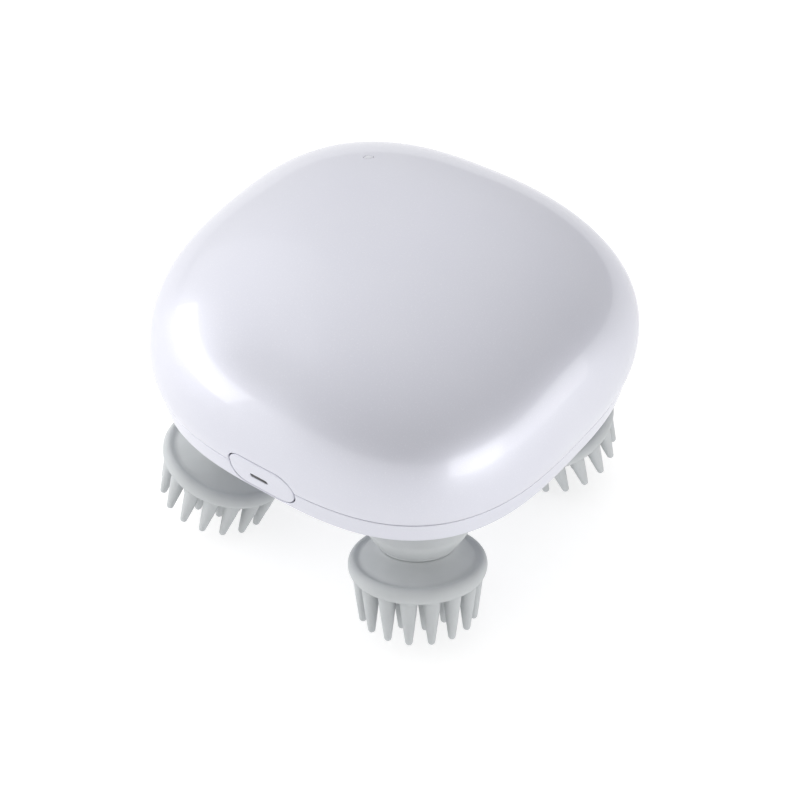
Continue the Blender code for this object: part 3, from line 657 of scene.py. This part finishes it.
def boot(i):
    """The sleeve between casing and head, drawn with many rings from the casing's upright frame to the
    leaning head's frame.
    """
    upright, leaning = crank_frame(i), crank_frame(i, LEAN)
    under = BASE_Z - GAP - PIVOT_Z
    ledge = FLOOR_Z + GAP - PIVOT_Z
    top = ledge + 1.0
    collar = [
        (BOOT_INSIDE, top), (BOOT_FLANGE, top), (BOOT_FLANGE, ledge), (BOOT_NECK, ledge),
        (BOOT_NECK, under + 0.35), (BOOT_NECK + 0.4, under + 0.25),
    ]
    rings = [sleeve_ring(upright, upright, r, z, z, 0.0) for r, z in collar]
    outer_steps, inner_steps = BOOT_RINGS
    for step in range(outer_steps + 1):
        share = step / outer_steps
        drop = max(share - BOOT_BEND, 0.0) / (1 - BOOT_BEND)
        radius = BOOT_TOP - (BOOT_TOP - BOOT_FOOT) * drop**1.3
        rings.append(sleeve_ring(upright, leaning, radius, under, FOOT + 0.5, share))
    for r, z in ((9.48, 0.25), (9.4, 0.07), (9.2, 0.0), (8.6, 0.0)):
        rings.append(sleeve_ring(leaning, leaning, r, FOOT + z, FOOT + z, 0.0))
    low, high = BOOT_BORE
    for step in range(inner_steps + 1):
        share = step / inner_steps
        rings.append(sleeve_ring(leaning, upright, low + (high - low) * share, FOOT, under, share))
    made = mesh_object(f"boot_{i}_fine", *loft(rings, closed=True))
    dress(made, "light_grey_silicone", SILICONE, f"boot_{i}")
    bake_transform(made)


def sleeve_ring(first, last, radius, first_height, last_height, share, count=96):
    """A ring part of the way from one frame's circle to another's."""
    ring = []
    for x, y in circle(radius, count):
        near, far = first @ Vector((x, y, first_height)), last @ Vector((x, y, last_height))
        ring.append(tuple(near.lerp(far, share)))
    return ring


def case_screws():
    """Pan heads with a cross recess, seen in their sinks under the casing."""
    low, high = BASE_Z + 1.2, FLOOR_Z + 0.4
    profile = [
        (0.0, low), (1.1, low + 0.03), (1.6, low + 0.2), (SCREW_HEAD_RADIUS, low + 0.6),
        (SCREW_HEAD_RADIUS, high), (SCREW_RADIUS, high), (SCREW_RADIUS, SCREW_END_Z - 0.6),
        (0.4, SCREW_END_Z), (0.0, SCREW_END_Z),
    ]
    for i, (x, y) in enumerate(CASE_SCREWS, 1):
        made = mesh_object(f"case_screw_{i}_fine", *lathe(profile, SCREW_POINTS, (x, y)))
        slots = []
        for half_x, half_y in (CROSS_HALF, CROSS_HALF[::-1]):
            corners = rectangle((x - half_x, x + half_x), (y - half_y, y + half_y))
            cross = [[(cx, cy, z) for cx, cy in corners] for z in (low - 1.0, low + 0.9)]
            slots.append(("DIFFERENCE", mesh_object(f"slot_{i}_{half_x}", *loft(cross))))
        carve(made, *slots)
        finished(made, "casing", "steel", STEEL, f"case_screw_{i}")


# Materials: every one is built from noise in the object's own space

def node_material(name):
    made = bpy.data.materials.new(name)
    made.use_nodes = True
    tree = made.node_tree
    place = tree.nodes.new("ShaderNodeTexCoord").outputs["Object"]
    return made, tree, place, tree.nodes["Principled BSDF"]


def noise(tree, place, size_mm, detail=3.0, stretch=None):
    """A noise value; size_mm is the width of its blotches."""
    if stretch:
        mapping = tree.nodes.new("ShaderNodeMapping")
        mapping.inputs["Scale"].default_value = stretch
        tree.links.new(place, mapping.inputs["Vector"])
        place = mapping.outputs["Vector"]
    made = tree.nodes.new("ShaderNodeTexNoise")
    made.inputs["Scale"].default_value = 1 / (size_mm * MM)
    made.inputs["Detail"].default_value = detail
    tree.links.new(place, made.inputs["Vector"])
    return made.outputs["Fac"]


def ranged(tree, value, low, high, from_low=0.3, from_high=0.7):
    made = tree.nodes.new("ShaderNodeMapRange")
    made.inputs["From Min"].default_value = from_low
    made.inputs["From Max"].default_value = from_high
    made.inputs["To Min"].default_value = low
    made.inputs["To Max"].default_value = high
    tree.links.new(value, made.inputs["Value"])
    return made.outputs["Result"]


def mixed(tree, factor, first, second):
    """Mixes two colours; each is a tuple or a socket."""
    made = tree.nodes.new("ShaderNodeMix")
    made.data_type = "RGBA"
    tree.links.new(factor, made.inputs["Factor"])
    for socket, colour in (("A", first), ("B", second)):
        target = next(s for s in made.inputs if s.name == socket and s.type == "RGBA")
        if isinstance(colour, tuple):
            target.default_value = (*colour, 1.0)
        else:
            tree.links.new(colour, target)
    return next(s for s in made.outputs if s.type == "RGBA")


def bumped(tree, shader, height, depth_mm):
    made = tree.nodes.new("ShaderNodeBump")
    made.inputs["Strength"].default_value = 1.0
    made.inputs["Distance"].default_value = depth_mm * MM
    tree.links.new(height, made.inputs["Height"])
    tree.links.new(made.outputs["Normal"], shader.inputs["Normal"])


def surface(name, dark, light, rough, blotch_mm, grain_mm, grain_depth, metallic=0.0, stretch=None):
    """The common build: blotched colour, uneven roughness and a fine grain."""
    made, tree, place, shader = node_material(name)
    blotch = noise(tree, place, blotch_mm)
    grain = noise(tree, place, grain_mm, 4.0, stretch)
    tree.links.new(mixed(tree, ranged(tree, blotch, 0.0, 1.0), dark, light), shader.inputs["Base Color"])
    tree.links.new(ranged(tree, grain, *rough), shader.inputs["Roughness"])
    bumped(tree, shader, grain, grain_depth)
    shader.inputs["Metallic"].default_value = metallic
    return made


def pearl():
    """Clear lacquer over fine pearl flakes, which mirror the lights broadly."""
    made, tree, place, shader = node_material("pearl_lacquer")
    cloud = ranged(tree, noise(tree, place, 22.0, 2.0), 0.0, 1.0)
    body = mixed(tree, cloud, (0.665, 0.67, 0.74), (0.68, 0.685, 0.75))
    flakes = noise(tree, place, 0.3, 2.0)
    # Flakes painted paler in the base colour: partly their own pale tone, partly painted glints of the
    # lights.
    flake_tone_and_glint = mixed(tree, ranged(tree, flakes, 0.0, 0.16, 0.55, 0.75), body, (0.95, 0.95, 1.0))
    tree.links.new(flake_tone_and_glint, shader.inputs["Base Color"])
    tree.links.new(ranged(tree, flakes, 0.34, 0.46), shader.inputs["Roughness"])
    bumped(tree, shader, flakes, 0.006)
    shader.inputs["Metallic"].default_value = 0.3
    shader.inputs["IOR"].default_value = 1.45
    shader.inputs["Specular Tint"].default_value = (0.62, 0.62, 0.68, 1.0)
    shader.inputs["Coat Weight"].default_value = 0.6
    shader.inputs["Coat IOR"].default_value = 1.5
    shader.inputs["Coat Roughness"].default_value = 0.03
    return made


def silicone():
    """Matte soft silicone with a faint moulding texture and a little light passing through."""
    made, tree, place, shader = node_material("soft_silicone")
    cloud = ranged(tree, noise(tree, place, 6.0), 0.0, 1.0)
    colour = mixed(tree, cloud, (0.515, 0.535, 0.545), (0.545, 0.565, 0.575))
    tree.links.new(colour, shader.inputs["Base Color"])
    fine = noise(tree, place, 0.22, 4.0)
    tree.links.new(ranged(tree, fine, 0.5, 0.62), shader.inputs["Roughness"])
    bumped(tree, shader, fine, 0.012)
    shader.inputs["Subsurface Weight"].default_value = 0.15
    shader.inputs["Subsurface Radius"].default_value = (1.0, 1.0, 1.0)
    shader.inputs["Subsurface Scale"].default_value = 0.0012
    shader.inputs["IOR"].default_value = 1.41
    return made


PEARL = pearl()
SILICONE = silicone()
RUBBER = surface("gasket_rubber", (0.24, 0.25, 0.27), (0.30, 0.31, 0.33), (0.6, 0.75), 3.0, 0.2, 0.01)
ACETAL = surface("acetal", (0.74, 0.73, 0.69), (0.80, 0.79, 0.75), (0.32, 0.45), 8.0, 0.3, 0.006)
NYLON = surface(
    "glass_filled_nylon", (0.028, 0.03, 0.034), (0.045, 0.047, 0.052), (0.42, 0.6), 5.0, 0.25, 0.02
)
STEEL = surface(
    "steel", (0.50, 0.51, 0.53), (0.60, 0.61, 0.63), (0.18, 0.34), 4.0, 0.4, 0.004, 1.0, (1, 1, 0.1)
)
BRASS = surface("sintered_brass", (0.50, 0.36, 0.13), (0.60, 0.45, 0.18), (0.28, 0.45), 2.0, 0.15, 0.01, 1.0)
BOARD = surface("solder_mask", (0.01, 0.09, 0.045), (0.014, 0.12, 0.06), (0.3, 0.42), 6.0, 0.5, 0.01)
SMOKED = surface("smoked_window", (0.010, 0.010, 0.013), (0.016, 0.016, 0.02), (0.35, 0.45), 1.0, 0.3, 0.002)
LENS = surface("light_pipe", (0.62, 0.63, 0.68), (0.66, 0.67, 0.72), (0.15, 0.25), 1.0, 0.3, 0.002)
FOIL = surface("battery_foil", (0.34, 0.36, 0.39), (0.42, 0.44, 0.47), (0.3, 0.5), 9.0, 1.2, 0.05, 0.9)

SLOT_MATERIALS = {
    "pearl_shell": PEARL, "light_grey_silicone": SILICONE, "dark_rubber": RUBBER, "acetal": ACETAL,
    "dark_nylon": NYLON, "steel": STEEL, "brass": BRASS, "circuit_board": BOARD, "dark_lens": SMOKED,
    "battery_foil": FOIL, "light_lens": LENS,
}


def dress(item, slot, look, *nodes):
    item.data.materials.clear()
    item.data.materials.append(look)
    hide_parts(*nodes)


def finished(item, body, slot, look, *nodes):
    dress(item, slot, look, *nodes)
    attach(item, body)


def dress_cad_nodes():
    """Gives each CAD node that stays its slot's material."""
    slots = {row["node"]: row["material_slot"] for row in frame["record"]["subparts"]}
    for name, node in frame["nodes"].items():
        node.data.materials.clear()
        node.data.materials.append(SLOT_MATERIALS[slots[name]])


# Camera, floor and light

AZIMUTH = math.radians(35.18)
ELEVATION = math.radians(43.5)
DISTANCE = 370.07
LENS_MM = 68.8
SENSOR_MM = 36.0
AIM_RIGHT = 2.13
AIM_UP = -16.64
FLOOR_REACH = 40


def look_from(azimuth, elevation):
    """Unit vectors to the viewer, to the right and up."""
    flat = math.cos(elevation)
    back = Vector((math.sin(azimuth) * flat, -math.cos(azimuth) * flat, math.sin(elevation)))
    right = Vector((math.cos(azimuth), math.sin(azimuth), 0.0))
    return back, right, back.cross(right)


def camera():
    back, right, up = look_from(AZIMUTH, ELEVATION)
    target = Vector((0.0, 0.0, EQUATOR_Z)) + right * AIM_RIGHT + up * AIM_UP
    made = bpy.data.objects.new("camera", bpy.data.cameras.new("camera"))
    bpy.context.scene.collection.objects.link(made)
    made.data.lens = LENS_MM
    made.data.sensor_width = SENSOR_MM
    made.data.clip_start = 0.01
    made.location = (target + back * DISTANCE) * MM
    made.rotation_euler = Matrix((right, up, back)).transposed().to_euler()
    bpy.context.scene.camera = made


def softbox(name, azimuth, elevation, distance, size, brightness, roll=0.0):
    """A light that faces the object, in metres and degrees. Brightness 1 is that of white paper."""
    back, right, up = look_from(math.radians(azimuth), math.radians(elevation))
    made = bpy.data.objects.new(name, bpy.data.lights.new(name, "AREA"))
    bpy.context.scene.collection.objects.link(made)
    made.data.shape = "RECTANGLE"
    made.data.size, made.data.size_y = size
    made.data.energy = math.pi * size[0] * size[1] * brightness
    made.location = Vector((0.0, 0.0, EQUATOR_Z * MM)) + back * distance
    facing = Matrix((right, up, back)).transposed() @ Matrix.Rotation(math.radians(roll), 3, "Z")
    made.rotation_euler = facing.to_euler()
    made.visible_camera = False


def studio():
    """Soft light, mostly from the left and above, with low strips for the shoulders' highlights."""
    world = bpy.data.worlds.new("studio")
    bpy.context.scene.world = world
    world.use_nodes = True
    tree = world.node_tree
    facing = tree.nodes.new("ShaderNodeVectorMath")
    facing.operation = "DOT_PRODUCT"
    tree.links.new(tree.nodes.new("ShaderNodeTexCoord").outputs["Generated"], facing.inputs[0])
    facing.inputs[1].default_value = look_from(math.radians(-110), math.radians(60))[0]
    level = ranged(tree, facing.outputs["Value"], 0.1, 1.28, -0.2, 1.0)
    tree.links.new(level, tree.nodes["Background"].inputs["Strength"])
    tree.nodes["Background"].inputs["Color"].default_value = (1.0, 1.0, 1.0, 1.0)
    softbox("left", -75, 35, 0.7, (0.8, 0.7), 0.3)
    softbox("left_shoulder", -50, 6, 0.24, (0.22, 0.07), 3.0, roll=-22)
    softbox("right_shoulder", 72, -4, 0.22, (0.12, 0.07), 2.7)
    softbox("right_flank", 105, -4, 0.22, (0.14, 0.07), 1.2)
    bpy.context.scene.view_settings.view_transform = "Standard"


def floor():
    """A white sweep, lit a little from below as a light table is."""
    made, tree, place, shader = node_material("studio_floor")
    patch = ranged(tree, noise(tree, place, 60.0), 0.0, 1.0)
    tree.links.new(mixed(tree, patch, (0.50, 0.50, 0.50), (0.53, 0.53, 0.53)), shader.inputs["Base Color"])
    shader.inputs["Roughness"].default_value = 0.9
    shader.inputs["Specular IOR Level"].default_value = 0.1
    shader.inputs["Emission Color"].default_value = (1.0, 1.0, 1.0, 1.0)
    shader.inputs["Emission Strength"].default_value = 0.65
    mesh = bpy.data.meshes.new("studio_floor")
    reach = (-FLOOR_REACH, FLOOR_REACH)
    mesh.from_pydata([(x, y, 0.0) for x, y in rectangle(reach, reach)], [], [(0, 1, 2, 3)])
    mesh.materials.append(made)
    plane = bpy.data.objects.new("studio_floor", mesh)
    bpy.context.scene.collection.objects.link(plane)


def main():
    camera()
    studio()
    floor()
    dress_cad_nodes()
    top_shell()
    base_shell()
    gasket()
    power_button()
    button_window()
    status_light()
    port_plug()
    case_screws()
    massage_heads()
    for i in CORNERS:
        boot(i)


main()
